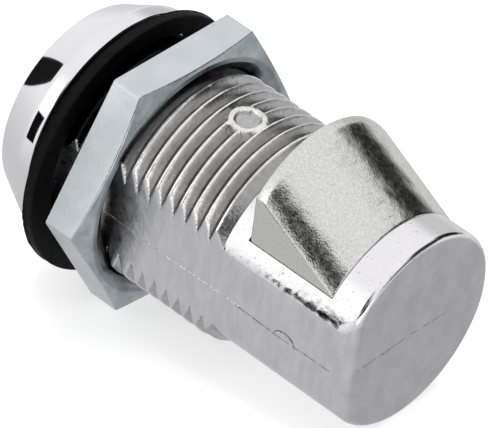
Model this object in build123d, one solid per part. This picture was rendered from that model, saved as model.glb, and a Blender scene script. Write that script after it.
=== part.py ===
from build123d import *
import os
from math import cos, pi, radians, sqrt, tan

# Threaded slam-latch cylinder lock. The barrel axis is Y: the head and key side face -Y,
# the closed rear end faces +Y, and the latch bolt stands out of the top, +Z.
# The origin is on the barrel axis, in the plane where the gasket meets the panel.
# All sizes are in millimetres.

# ---- Driving dimensions ------------------------------------------------------------

# Barrel: M22 x 1.5 thread with two flats, then a smooth rear body.
THREAD_MAJOR_R = 11.0
THREAD_PITCH = 1.5
THREAD_START = 0.4
SHOULDER_R = 10.85
SHOULDER = 0.9
THREAD_END = 19.2
FLAT_X = 9.2
FAR_FLAT_X = -9.6
REAR_R = 10.15
REAR_END = 34.8
REAR_EDGE_ROUND = 0.6
FLAT_EDGE_ROUND = 0.35
FLAT_END_ROUND = 1.6

# Head: a short rim and a cone that narrows to the front face.
HEAD_BACK = -2.1
HEAD_RIM_R = 12.15
HEAD_CREASE = -3.65
HEAD_FRONT = -7.45
HEAD_FRONT_R = 10.2
HEAD_EDGE_ROUND = 0.18

# Gasket and nut.
GASKET_R = 13.65
GASKET_HOLE_R = 11.12
GASKET_EDGE = 1.0
GASKET_SAG = 0.65
NUT_ACROSS_FLATS = 25.8
NUT_FRONT = 2.9
NUT_THICKNESS = 3.9
NUT_CHAMFER_R = 12.5
NUT_CHAMFER_DEPTH = 0.6
NUT_CORNER_ROUND = 0.4
NUT_MOUTH = 0.9
NUT_LEAD = 0.55
NUT_MAJOR_GAP = 0.1
NUT_MINOR_GAP = 0.12
NUT_THREAD_TURNS = 5

# Latch bolt and the window it slides in.
BOLT_TRAVEL = 5.1
BOLT_HALF_WIDTH = 8.0
BOLT_FRONT = 21.2
BOLT_REAR = 31.3
BOLT_LAND = 1.0
BOLT_UNDERSIDE_R = 8.85
BOLT_EDGE_ROUND = 0.25
CHAMBER_R = 9.0
SLIDE_GAP = 0.05

# Plug, the part that the key turns.
PLUG_R = 6.5
PLUG_BORE_R = 6.55
PLUG_REAR = 20.85
FLANGE_R = 7.2
FLANGE_BORE_R = 7.3
FLANGE_BACK = -5.7
CAP_THICKNESS = 0.5
KEYWAY_HALF_WIDTH = 1.15
KEYWAY_HALF_HEIGHT = 3.4
KEYWAY_END = 14.5
KEY_SLOT_HALF_WIDTH = 1.3

# Wafers.
WAFER_COUNT = 7
WAFER_PITCH = 2.0
WAFER_FIRST = -1.5
WAFER_THICKNESS = 1.0
WAFER_HALF_WIDTH = 3.05
WAFER_R = 6.42
WAFER_EAR = 1.0
WAFER_LEG_EDGE = 1.75
WAFER_LEDGE_EDGE = 1.85
WAFER_LEDGE = -3.0
WAFER_CODE = (0.3, -0.2, 0.1, 0.4, -0.3, 0.2, -0.1)
WAFER_GROOVE_R = 7.6
WAFER_GROOVE_HALF_WIDTH = 3.3

# Retaining wafer that holds the plug in the housing.
RETAINER_Y = 16.2
RETAINER_THICKNESS = 1.2
RETAINER_BOTTOM = -1.9
RETAINER_TIP_R = 7.5
RETAINER_GROOVE_R = 7.7
RETAINER_GROOVE_HALF_WIDTH = 0.8
RETAINER_POCKET_R = 1.2
RETAINER_POCKET_FLOOR = -4.6

# Drive pin in the plug's tail: a quarter turn lowers it by the bolt's travel.
DRIVE_PIN_R = 1.25
DRIVE_PIN_OFFSET = BOLT_TRAVEL / 2
DRIVE_PIN_FRONT = 17.9
DRIVE_PIN_REAR = 25.0
DRIVE_PIN_CHAMFER = 0.25
DRIVE_PIN_LIFT = 0.16
DRIVE_PIN_SIDE_GAP = 0.15
DRIVE_PIN_END_GAP = 0.4

# Dust shutter behind the key slot.
SHUTTER_PIN_R = 0.3
SHUTTER_PIN_X = -1.95
SHUTTER_PIN_Y = -6.1
SHUTTER_PIN_HALF_LENGTH = 4.3
SHUTTER_PIN_GAP = 0.03
SHUTTER_KNUCKLE_R = 0.55
SHUTTER_KNUCKLE_TOP = 0.3
SHUTTER_SPRING_ROOM_R = 0.8
SHUTTER_SPRING_BOTTOM = 0.5
SHUTTER_THICKNESS = 0.35
SHUTTER_HALF_HEIGHT = 3.3
SHUTTER_EDGE = 1.45
SHUTTER_EDGE_GAP = 0.25
SHUTTER_END_GAP = 0.2
SHUTTER_POCKET_SIDE = -2.65
SHUTTER_POCKET_BACK = -2.5

# Coil springs: mean radius, wire thickness and number of turns.
BOLT_COIL = (2.2, 0.5, 8)
WAFER_COIL = (0.38, 0.18, 5)
RETAINER_COIL = (0.85, 0.3, 4)
SHUTTER_COIL = (0.46, 0.16, 6)
BOLT_SPRING_Y = 28.3
BOLT_SPRING_SEAT = -9.1
BOLT_SPRING_TOP = 6.0
BOLT_SPRING_POCKET_R = 2.7

# Round ejector-pin pad cast on top of the thread.
PAD_R = 1.8
PAD_TOP_R = 11.06
PAD_Y = 13.1
PAD_ANGLE = 1.5
PAD_DISH_R = 1.15
PAD_DISH = 0.3

# How far helper shapes reach: past the part being cut, into the part being joined, and clear of a surface.
BEYOND = 30.0
OVERLAP = 1.0
ROOT_OVERLAP = 0.15
NUT_ROOT_OVERLAP = 0.05
CLEAR = 0.01

# ---- Worked-out dimensions ---------------------------------------------------------

THREAD_FLANK = tan(radians(30))
THREAD_DEPTH = 3 / 8 * sqrt(3) * THREAD_PITCH
THREAD_ROOT_R = THREAD_MAJOR_R - THREAD_DEPTH
THREAD_CREST = THREAD_PITCH / 8
NUT_REAR = NUT_FRONT + NUT_THICKNESS
NUT_MINOR_R = THREAD_ROOT_R + NUT_MINOR_GAP
NUT_MAJOR_R = THREAD_MAJOR_R + NUT_MAJOR_GAP
NUT_CREST = THREAD_PITCH / 12
CAP_BACK = HEAD_FRONT + CAP_THICKNESS


# ---- Shared shapes -----------------------------------------------------------------

def between(outline, front, rear):
    """Prism along the barrel: an outline in X and Z, from Y = front to Y = rear."""
    return extrude(Plane.XZ.offset(-front) * outline, amount=front - rear)


def rod(radius, front, rear, x=0, z=0):
    """Round rod along the barrel."""
    return between(Pos(x, z) * Circle(radius), front, rear)


def block(low, high):
    """Box between two corners."""
    size = [b - a for a, b in zip(low, high)]
    middle = [(a + b) / 2 for a, b in zip(low, high)]
    return Pos(*middle) * Box(*size)


def post(radius, low, high, x, y):
    """Round rod along Z."""
    return Pos(x, y, (low + high) / 2) * Cylinder(radius, high - low)


def turned(points):
    """Solid of revolution about the barrel axis, from (radius, y) points."""
    return revolve(make_face(Polyline(*points, close=True)), Axis.Y)


def double_d(radius, front, rear):
    """Round bar with the barrel's two side flats."""
    slot = Pos((FLAT_X + FAR_FLAT_X) / 2, 0) * Rectangle(FLAT_X - FAR_FLAT_X, 2 * radius)
    return between(Circle(radius) & slot, front, rear)


def upright_coil(coil, low, high, x, y):
    """Spring along Z, as long over its wire as from low to high."""
    mean_radius, wire, turns = coil
    height = high - low - wire
    path = Helix(pitch=height / turns, height=height, radius=mean_radius)
    wire_section = Plane(origin=path @ 0, z_dir=path % 0) * Circle(wire / 2)
    return Pos(x, y, low + wire / 2) * sweep(wire_section, path=path, is_frenet=True)


def thread_ridge(base_r, tip_r, base_width, tip_width, start, length):
    """Helical ridge about the barrel axis, trapezoid in section."""
    path = Helix(pitch=THREAD_PITCH, height=length, radius=base_r)
    section = Polyline((base_r, -base_width / 2), (tip_r, -tip_width / 2),
                       (tip_r, tip_width / 2), (base_r, base_width / 2), close=True)
    ridge = sweep(Plane.XZ * make_face(section), path=path, is_frenet=True)
    return Pos(0, start, 0) * Rot(-90, 0, 0) * ridge


# ---- Housing -----------------------------------------------------------------------

def thread():
    """Thread ridge of the barrel: it starts behind the head and runs out on the shoulder."""
    base_r = THREAD_ROOT_R - ROOT_OVERLAP
    base_width = THREAD_CREST + 2 * THREAD_FLANK * (THREAD_DEPTH + ROOT_OVERLAP)
    length = THREAD_END - SHOULDER - THREAD_START
    ridge = thread_ridge(base_r, THREAD_MAJOR_R, base_width, THREAD_CREST, THREAD_START, length)
    flats = block((FAR_FLAT_X, -BEYOND, -BEYOND), (FLAT_X, THREAD_END, BEYOND))
    return ridge & flats


def shoulder():
    """Cone behind the thread that leads down to the rear body."""
    front = THREAD_END - SHOULDER
    cone = turned([(0, front), (SHOULDER_R, front), (REAR_R, THREAD_END), (0, THREAD_END)])
    return cone & block((FAR_FLAT_X, front, -BEYOND), (FLAT_X, THREAD_END, BEYOND))


def pad():
    """Round pad where an ejector pin pushed the casting out of its die."""
    disc = Pos(0, PAD_Y, PAD_TOP_R / 2) * Cylinder(PAD_R, PAD_TOP_R)
    core = rod(THREAD_ROOT_R - ROOT_OVERLAP, PAD_Y - 2 * PAD_R, PAD_Y + 2 * PAD_R)
    crest = rod(PAD_TOP_R, PAD_Y - 2 * PAD_R, PAD_Y + 2 * PAD_R)
    return Rot(0, PAD_ANGLE, 0) * ((disc & crest) - core)


def pad_dish():
    """Shallow round recess in the top of the pad."""
    return Rot(0, PAD_ANGLE, 0) * Pos(0, PAD_Y, PAD_TOP_R) * Cylinder(PAD_DISH_R, 2 * PAD_DISH)


def head():
    """Rim and cone of the head, with the barrel's neck behind it."""
    profile = Polyline((0, HEAD_FRONT), (HEAD_FRONT_R, HEAD_FRONT), (HEAD_RIM_R, HEAD_CREASE),
                       (HEAD_RIM_R, HEAD_BACK), (0, HEAD_BACK), close=True)
    outer = [v for v in make_face(profile).vertices() if v.X > HEAD_FRONT_R / 2]
    return revolve(fillet(outer, HEAD_EDGE_ROUND), Axis.Y)


def rear_body():
    """Smooth rear end of the barrel, its edges rounded, most of all where the deeper flat ends."""
    front = THREAD_END - OVERLAP
    body = double_d(REAR_R, front, REAR_END)
    body = fillet(body.edges().filter_by(Axis.Y), FLAT_EDGE_ROUND)
    body = fillet(body.faces().sort_by(Axis.Y)[-1].edges(), REAR_EDGE_ROUND)
    middle = Pos((FLAT_X + FAR_FLAT_X) / 2, (front + REAR_END) / 2)
    plan = middle * Rectangle(FLAT_X - FAR_FLAT_X, REAR_END - front)
    plan = fillet(plan.vertices().group_by(Axis.Y)[-1].sort_by(Axis.X)[-1], FLAT_END_ROUND)
    return body & extrude(plan, amount=REAR_R, both=True)


def chamber():
    """Hollow for the latch bolt: round underneath and open at the top."""
    half = BOLT_HALF_WIDTH + SLIDE_GAP
    mouth = Pos(0, REAR_R / 2) * Rectangle(2 * half, REAR_R)
    round_floor = Circle(CHAMBER_R) & Rectangle(2 * half, 2 * CHAMBER_R)
    front, rear = BOLT_FRONT - SLIDE_GAP, BOLT_REAR + SLIDE_GAP
    space = between(mouth + round_floor, front, rear)
    mouth_above = block((-half, front, REAR_R / 2), (half, rear, BEYOND))
    spring_seat = post(BOLT_SPRING_POCKET_R, BOLT_SPRING_SEAT, 0, 0, BOLT_SPRING_Y)
    return space + mouth_above + spring_seat


def wafer_grooves():
    """Two channels in the bore, above and below, that the locked wafers stand out into."""
    front = WAFER_FIRST - WAFER_THICKNESS
    rear = WAFER_FIRST + (WAFER_COUNT - 1) * WAFER_PITCH + WAFER_THICKNESS
    slot = Rectangle(2 * WAFER_GROOVE_HALF_WIDTH, 2 * WAFER_GROOVE_R) & Circle(WAFER_GROOVE_R)
    return between(slot, front, rear)


def housing():
    """Die-cast head and barrel, hollow for the plug and the latch bolt."""
    core = double_d(THREAD_ROOT_R, HEAD_BACK, THREAD_END)
    body = core + thread() + shoulder() + pad() + head() + rear_body()
    body -= rod(PLUG_BORE_R, HEAD_FRONT, BOLT_FRONT)
    body -= rod(FLANGE_BORE_R, HEAD_FRONT, FLANGE_BACK)
    groove_front = RETAINER_Y - RETAINER_GROOVE_HALF_WIDTH
    body -= rod(RETAINER_GROOVE_R, groove_front, groove_front + 2 * RETAINER_GROOVE_HALF_WIDTH)
    return body - wafer_grooves() - chamber() - pad_dish()


# ---- Gasket and nut ----------------------------------------------------------------

def gasket():
    """Rubber ring, flat behind and relieved in front; it hangs a little low on the barrel."""
    ring = turned([(0, HEAD_BACK), (HEAD_RIM_R, HEAD_BACK), (GASKET_R, -GASKET_EDGE),
                   (GASKET_R, 0), (0, 0)])
    return Pos(0, 0, -GASKET_SAG) * ring - rod(GASKET_HOLE_R, HEAD_BACK, 0)


def hex_nut():
    """Thin hexagon nut with a flat on top, its corners chamfered on the rear face."""
    corner_r = NUT_ACROSS_FLATS / 2 / cos(pi / 6)
    outline = RegularPolygon(corner_r, 6)
    hexagon = between(fillet(outline.vertices(), NUT_CORNER_ROUND), NUT_FRONT, NUT_REAR)
    limit = turned([(0, NUT_FRONT), (corner_r + CLEAR, NUT_FRONT),
                    (corner_r + CLEAR, NUT_REAR - NUT_CHAMFER_DEPTH),
                    (NUT_CHAMFER_R, NUT_REAR), (0, NUT_REAR)])
    mouth_r = NUT_MAJOR_R + NUT_MOUTH
    bore = turned([(0, NUT_FRONT), (mouth_r, NUT_FRONT), (NUT_MAJOR_R, NUT_FRONT + NUT_LEAD),
                   (NUT_MAJOR_R, NUT_REAR - NUT_LEAD), (mouth_r, NUT_REAR), (0, NUT_REAR)])
    return ((hexagon & limit) - bore) + nut_thread()


def nut_thread():
    """Ridge inside the nut, half a pitch away from the barrel's, with tapered ends."""
    base_r = NUT_MAJOR_R + NUT_ROOT_OVERLAP
    base_width = NUT_CREST + 2 * THREAD_FLANK * (base_r - NUT_MINOR_R)
    start = THREAD_START + THREAD_PITCH / 2
    ridge = thread_ridge(base_r, NUT_MINOR_R, base_width, NUT_CREST, start,
                         NUT_THREAD_TURNS * THREAD_PITCH)
    inner_r = NUT_MINOR_R - NUT_ROOT_OVERLAP
    outer_r = base_r + OVERLAP
    ends = turned([(outer_r, NUT_FRONT + NUT_LEAD), (NUT_MAJOR_R, NUT_FRONT + NUT_LEAD),
                   (inner_r, NUT_FRONT + 2 * NUT_LEAD), (inner_r, NUT_REAR - 2 * NUT_LEAD),
                   (NUT_MAJOR_R, NUT_REAR - NUT_LEAD), (outer_r, NUT_REAR - NUT_LEAD)])
    return ridge & ends


# ---- Latch bolt --------------------------------------------------------------------

def bolt():
    """Sloped latch bolt: its top is the barrel's own arc, raised by the travel."""
    centre = Pos(0, BOLT_TRAVEL)
    band = Rectangle(2 * BOLT_HALF_WIDTH, 4 * REAR_R)
    upper = Circle(REAR_R) & (Pos(0, REAR_R) * Rectangle(2 * REAR_R, 2 * REAR_R))
    lower = Circle(BOLT_UNDERSIDE_R) & (Pos(0, -REAR_R) * Rectangle(2 * REAR_R, 2 * REAR_R))
    section = centre * ((upper + lower) & band)
    body = between(section, BOLT_FRONT, BOLT_REAR)

    # Everything under the top arc: straight along the land, then shifted down the ramp.
    under_arc = centre * (Circle(REAR_R) + Pos(0, -REAR_R) * Rectangle(2 * REAR_R, 2 * REAR_R))
    ramp_front = BOLT_FRONT + BOLT_LAND
    ramp_length = BOLT_REAR + SLIDE_GAP - ramp_front
    land = between(under_arc, BOLT_FRONT, ramp_front)
    ramp_face = Plane.XZ.offset(-ramp_front) * under_arc
    slope = Vector(0, ramp_length, -BOLT_TRAVEL)
    ramp = extrude(ramp_face, amount=slope.length, dir=slope.normalized())
    body = body & (land + ramp)
    body = fillet(bolt_creases(body), BOLT_EDGE_ROUND)
    spring_pocket = post(BOLT_SPRING_POCKET_R, -BEYOND, BOLT_SPRING_TOP, 0, BOLT_SPRING_Y)
    return body - pin_slot() - spring_pocket


def bolt_creases(body):
    """Edges that show outside the barrel: along both sides of the top, and across its front."""
    creases = []
    for edge in body.edges():
        middle = edge.center()
        at_side = abs(middle.X) > BOLT_HALF_WIDTH - OVERLAP
        at_front = middle.Y < BOLT_FRONT + BOLT_LAND / 2
        if middle.Z > REAR_R and middle.Y < BOLT_REAR - OVERLAP and (at_side or at_front):
            creases.append(edge)
    return creases


def pin_slot():
    """Slot for the drive pin, tall enough for the bolt to be pushed in while the plug stands still."""
    low = DRIVE_PIN_OFFSET - DRIVE_PIN_R - DRIVE_PIN_LIFT
    high = DRIVE_PIN_OFFSET + DRIVE_PIN_R + DRIVE_PIN_LIFT
    side = DRIVE_PIN_R + DRIVE_PIN_SIDE_GAP
    swing = DRIVE_PIN_OFFSET * sqrt(2)
    slot_back = DRIVE_PIN_REAR + DRIVE_PIN_END_GAP
    corner = (DRIVE_PIN_OFFSET - side, BOLT_FRONT - OVERLAP, low)
    slam_slot = block(corner, (DRIVE_PIN_OFFSET + side, slot_back, high + BOLT_TRAVEL))
    return slam_slot + block(corner, (swing + side, slot_back, high))


def bolt_spring():
    """Compression spring between the chamber floor and the bolt."""
    return upright_coil(BOLT_COIL, BOLT_SPRING_SEAT, BOLT_SPRING_TOP, 0, BOLT_SPRING_Y)


# ---- Plug --------------------------------------------------------------------------

def wafer_place(index):
    """Where a wafer sits; every second one is turned over so that it springs downwards."""
    return Pos(0, WAFER_FIRST + index * WAFER_PITCH, 0) * Rot(0, 180 * (index % 2), 0)


def wafer_slot():
    """Slot for one wafer, with the ledge that its spring stands on."""
    half_width = WAFER_HALF_WIDTH + SLIDE_GAP
    half_depth = WAFER_THICKNESS / 2 + SLIDE_GAP
    slot = block((-half_width, -half_depth, -PLUG_R), (half_width, half_depth, PLUG_R))
    ledge = block((WAFER_LEDGE_EDGE, -half_depth, -PLUG_R), (half_width, half_depth, WAFER_LEDGE))
    return slot - ledge


def retainer_slot():
    """Slot and spring pocket for the retaining wafer."""
    half_width = WAFER_HALF_WIDTH + SLIDE_GAP
    half_depth = RETAINER_THICKNESS / 2 + SLIDE_GAP
    slot = block((-half_width, RETAINER_Y - half_depth, RETAINER_BOTTOM - SLIDE_GAP),
                 (half_width, RETAINER_Y + half_depth, PLUG_R))
    return slot + post(RETAINER_POCKET_R, RETAINER_POCKET_FLOOR, 0, 0, RETAINER_Y)


def plug():
    """Plug with its keyway, wafer slots, shutter pocket and drive pin hole."""
    body = rod(PLUG_R, CAP_BACK, PLUG_REAR) + rod(FLANGE_R, CAP_BACK, FLANGE_BACK - SLIDE_GAP)
    body -= block((-KEYWAY_HALF_WIDTH, CAP_BACK, -KEYWAY_HALF_HEIGHT),
                  (KEYWAY_HALF_WIDTH, KEYWAY_END, KEYWAY_HALF_HEIGHT))
    pocket_top = SHUTTER_HALF_HEIGHT + SHUTTER_END_GAP
    body -= block((SHUTTER_POCKET_SIDE, CAP_BACK, -pocket_top),
                  (SHUTTER_EDGE + SHUTTER_EDGE_GAP, SHUTTER_POCKET_BACK, pocket_top))
    body -= shutter_pin()
    for index in range(WAFER_COUNT):
        body -= wafer_place(index) * wafer_slot()
    body -= retainer_slot()
    return body - rod(DRIVE_PIN_R, DRIVE_PIN_FRONT, PLUG_REAR, DRIVE_PIN_OFFSET, DRIVE_PIN_OFFSET)


def plug_face_cap():
    """Thin stainless disc with the key slot, on the front of the plug."""
    disc = rod(FLANGE_R, HEAD_FRONT, CAP_BACK)
    key_slot = Rectangle(2 * KEY_SLOT_HALF_WIDTH, 2 * KEYWAY_HALF_HEIGHT)
    return disc - between(key_slot, HEAD_FRONT, CAP_BACK)


def wafer(index):
    """Brass wafer with its key window; the cut-away leg leaves room for its spring."""
    outline = Rectangle(2 * WAFER_HALF_WIDTH, 2 * WAFER_R) & Circle(WAFER_R)
    window = Pos(0, WAFER_CODE[index]) * Rectangle(2 * KEY_SLOT_HALF_WIDTH, 2 * KEYWAY_HALF_HEIGHT)
    leg_width = WAFER_HALF_WIDTH - WAFER_LEG_EDGE
    leg_height = WAFER_EAR + WAFER_R
    leg_middle = Pos(WAFER_LEG_EDGE + leg_width / 2, WAFER_EAR - leg_height / 2)
    outline = outline - window - leg_middle * Rectangle(leg_width, leg_height)
    return wafer_place(index) * between(outline, -WAFER_THICKNESS / 2, WAFER_THICKNESS / 2)


def wafer_springs():
    """One small compression spring beside each wafer."""
    middle_x = (WAFER_LEDGE_EDGE + WAFER_HALF_WIDTH + SLIDE_GAP) / 2
    coil = upright_coil(WAFER_COIL, WAFER_LEDGE, WAFER_EAR, middle_x, 0)
    return Compound(children=[wafer_place(index) * coil for index in range(WAFER_COUNT)])


def retaining_wafer():
    """Solid wafer whose tip stands in the housing's ring groove and keeps the plug in."""
    height = RETAINER_TIP_R - RETAINER_BOTTOM
    outline = Pos(0, RETAINER_BOTTOM + height / 2) * Rectangle(2 * WAFER_HALF_WIDTH, height)
    outline = outline & Circle(RETAINER_TIP_R)
    half = RETAINER_THICKNESS / 2
    return between(outline, RETAINER_Y - half, RETAINER_Y + half)


def retainer_spring():
    """Compression spring under the retaining wafer."""
    return upright_coil(RETAINER_COIL, RETAINER_POCKET_FLOOR, RETAINER_BOTTOM, 0, RETAINER_Y)


def drive_pin():
    """Steel dowel pressed into the plug's tail; it pulls the bolt down."""
    pin = rod(DRIVE_PIN_R, DRIVE_PIN_FRONT, DRIVE_PIN_REAR, DRIVE_PIN_OFFSET, DRIVE_PIN_OFFSET)
    return chamfer(pin.faces().sort_by(Axis.Y)[-1].edges(), DRIVE_PIN_CHAMFER)


# ---- Dust shutter ------------------------------------------------------------------

def dust_shutter():
    """Small flap that closes the key slot from inside, with a knuckle on its lower half."""
    front = SHUTTER_PIN_Y - SHUTTER_KNUCKLE_R
    plate = block((SHUTTER_PIN_X, front, -SHUTTER_HALF_HEIGHT),
                  (SHUTTER_EDGE, front + SHUTTER_THICKNESS, SHUTTER_HALF_HEIGHT))
    hinge = (SHUTTER_PIN_X, SHUTTER_PIN_Y)
    knuckle = post(SHUTTER_KNUCKLE_R, -SHUTTER_HALF_HEIGHT, SHUTTER_KNUCKLE_TOP, *hinge)
    spring_room = post(SHUTTER_SPRING_ROOM_R, SHUTTER_KNUCKLE_TOP, BEYOND, *hinge)
    bore = post(SHUTTER_PIN_R + SHUTTER_PIN_GAP, -BEYOND, BEYOND, *hinge)
    return plate - spring_room + knuckle - bore


def shutter_pin():
    """Hinge pin of the shutter, held at both ends in the plug."""
    return post(SHUTTER_PIN_R, -SHUTTER_PIN_HALF_LENGTH, SHUTTER_PIN_HALF_LENGTH,
                SHUTTER_PIN_X, SHUTTER_PIN_Y)


def shutter_spring():
    """Torsion spring coiled round the shutter's pin."""
    return upright_coil(SHUTTER_COIL, SHUTTER_SPRING_BOTTOM, SHUTTER_HALF_HEIGHT, SHUTTER_PIN_X,
                        SHUTTER_PIN_Y)


# ---- Write one file for each piece -------------------------------------------------

PIECES = {
    "housing": housing,
    "gasket": gasket,
    "hex_nut": hex_nut,
    "bolt": bolt,
    "bolt_spring": bolt_spring,
    "plug": plug,
    "plug_face_cap": plug_face_cap,
    "wafer_springs": wafer_springs,
    "retaining_wafer": retaining_wafer,
    "retainer_spring": retainer_spring,
    "drive_pin": drive_pin,
    "dust_shutter": dust_shutter,
    "shutter_pin": shutter_pin,
    "shutter_spring": shutter_spring,
}

os.makedirs("parts", exist_ok=True)
for name, make in PIECES.items():
    export_step(make(), f"parts/{name}.step")
for index in range(WAFER_COUNT):
    export_step(wafer(index), f"parts/wafer_{index + 1}.step")
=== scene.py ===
from math import acos, cos, pi, radians, sin, sqrt

import bmesh
import bpy
import numpy as np
from mathutils import Matrix, Vector, noise


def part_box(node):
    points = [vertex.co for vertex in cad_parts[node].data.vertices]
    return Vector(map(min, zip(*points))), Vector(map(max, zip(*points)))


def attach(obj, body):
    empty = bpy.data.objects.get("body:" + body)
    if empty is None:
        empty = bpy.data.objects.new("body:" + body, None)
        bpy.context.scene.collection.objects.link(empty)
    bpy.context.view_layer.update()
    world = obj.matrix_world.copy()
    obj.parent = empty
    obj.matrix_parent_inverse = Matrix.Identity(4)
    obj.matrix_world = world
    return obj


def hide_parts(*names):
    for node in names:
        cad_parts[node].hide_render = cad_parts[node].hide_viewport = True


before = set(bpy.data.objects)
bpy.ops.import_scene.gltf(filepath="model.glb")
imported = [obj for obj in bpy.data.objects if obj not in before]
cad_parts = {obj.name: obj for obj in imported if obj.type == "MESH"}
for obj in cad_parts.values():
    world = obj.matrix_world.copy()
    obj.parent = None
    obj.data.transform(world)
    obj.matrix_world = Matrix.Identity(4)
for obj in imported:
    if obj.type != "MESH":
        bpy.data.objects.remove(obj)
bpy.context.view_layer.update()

# The lock is drawn in millimetres about its barrel axis, Y, and scaled to metres at the end.
MM = 0.001
TURN = 2 * pi


# ---- Camera ------------------------------------------------------------------------

VIEW_AZIMUTH = radians(127.914)
VIEW_ELEVATION = radians(40.593)
VIEW_ROLL = radians(7.898)
VIEW_DISTANCE = 0.46477
FOCAL_IN_WIDTHS = 10.449
SENSOR = 36.0
# Place along the barrel that the camera is set out from, and how far up and left of it the camera aims.
WATCHED_Y, AIM_UP, AIM_LEFT = 17.9, 2.02, 2.93


def add_camera():
    """Long lens above and behind the lock, aimed a little up and left of the barrel's middle."""
    a, e, roll = VIEW_AZIMUTH, VIEW_ELEVATION, VIEW_ROLL
    back = Vector((sin(a) * cos(e), -cos(a) * cos(e), sin(e)))
    level = Vector((0, 0, 1)).cross(back).normalized()
    upright = back.cross(level)
    right = cos(roll) * level + sin(roll) * upright
    up = cos(roll) * upright - sin(roll) * level
    watched = Vector((0, WATCHED_Y, 0)) * MM
    place = watched + back * VIEW_DISTANCE
    aim = watched + (up * AIM_UP - right * AIM_LEFT) * MM
    new_back = (place - aim).normalized()
    new_right = up.cross(new_back).normalized()
    new_up = new_back.cross(new_right)
    data = bpy.data.cameras.new("camera")
    data.sensor_width = SENSOR
    data.lens = FOCAL_IN_WIDTHS * SENSOR
    data.clip_start = 0.01
    data.clip_end = 20.0
    camera = bpy.data.objects.new("camera", data)
    rotation = Matrix((new_right, new_up, new_back)).transposed()
    camera.matrix_world = Matrix.Translation(place) @ rotation.to_4x4()
    bpy.context.scene.collection.objects.link(camera)
    bpy.context.scene.camera = camera


# ---- Sizes from the frame ----------------------------------------------------------

def corners(node):
    """Low and high corner of a node's box, in millimetres."""
    low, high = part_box(node)
    return low / MM, high / MM


HOUSING_LOW, HOUSING_HIGH = corners("housing")
HEAD_FRONT = HOUSING_LOW.y
REAR_END = HOUSING_HIGH.y
RIM_R = HOUSING_HIGH.x
NUT_LOW, NUT_HIGH = corners("hex_nut")
GASKET_LOW, GASKET_HIGH = corners("gasket")
BOLT_LOW, BOLT_HIGH = corners("bolt")

# Head and barrel.
HEAD_BACK = GASKET_LOW.y
HEAD_FRONT_R = 10.2
HEAD_CREASE = HEAD_BACK - 1.55
PITCH = 1.5
MAJOR_R = 11.0
ROOT_R = 10.03
CREST = PITCH / 8
THREAD_START = 0.4
SHOULDER_R = 10.85
SHOULDER_START = 18.3
STEP = 19.2
FLANK_SLOPE = 1.4
FLAT_X = 9.2
FAR_FLAT_X = -9.6
REAR_R = 10.15
REAR_ROUND = 0.6
FLAT_END_ROUND = 1.6
EDGE_ROUND = 0.4
THREAD_EDGE_ROUND = 0.12
PAD_Y, PAD_ANGLE, PAD_R, PAD_TOP_R = 13.1, radians(88.5), 1.8, 11.06
PAD_DISH_R, PAD_DISH = 1.15, 0.3
FLANGE_R, FLANGE_BACK, BORE_R = 7.3, -5.7, 6.55
CHAMBER_R, SLIDE_GAP = 9.0, 0.05
BOLT_HALF = BOLT_HIGH.x
TRAVEL = BOLT_HIGH.z - REAR_R

# Nut.
NUT_CHAMFER_R, NUT_CHAMFER_DEEP = 12.5, 0.6
NUT_EDGE_ROUND = 0.13

# Hidden hollows: the retaining wafer's groove, the locked wafers' channels, the bolt spring's room.
RETAINER_R, RETAINER_FRONT, RETAINER_REAR = 7.7, 15.4, 17.0
CHANNEL_R, CHANNEL_HALF, CHANNEL_FRONT, CHANNEL_REAR = 7.6, 3.3, -2.5, 11.5
SPRING_R, SPRING_Y, SPRING_SEAT, SPRING_TOP = 2.7, 28.3, -9.1, 6.0


# ---- Materials ---------------------------------------------------------------------

def fill_ramp(ramp, stops):
    """Gives a colour ramp its (position, colour) stops."""
    elements = ramp.color_ramp.elements
    while len(elements) < len(stops):
        elements.new(0.5)
    for element, (position, color) in zip(elements, stops):
        element.position = position
        element.color = (*color, 1)


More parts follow.
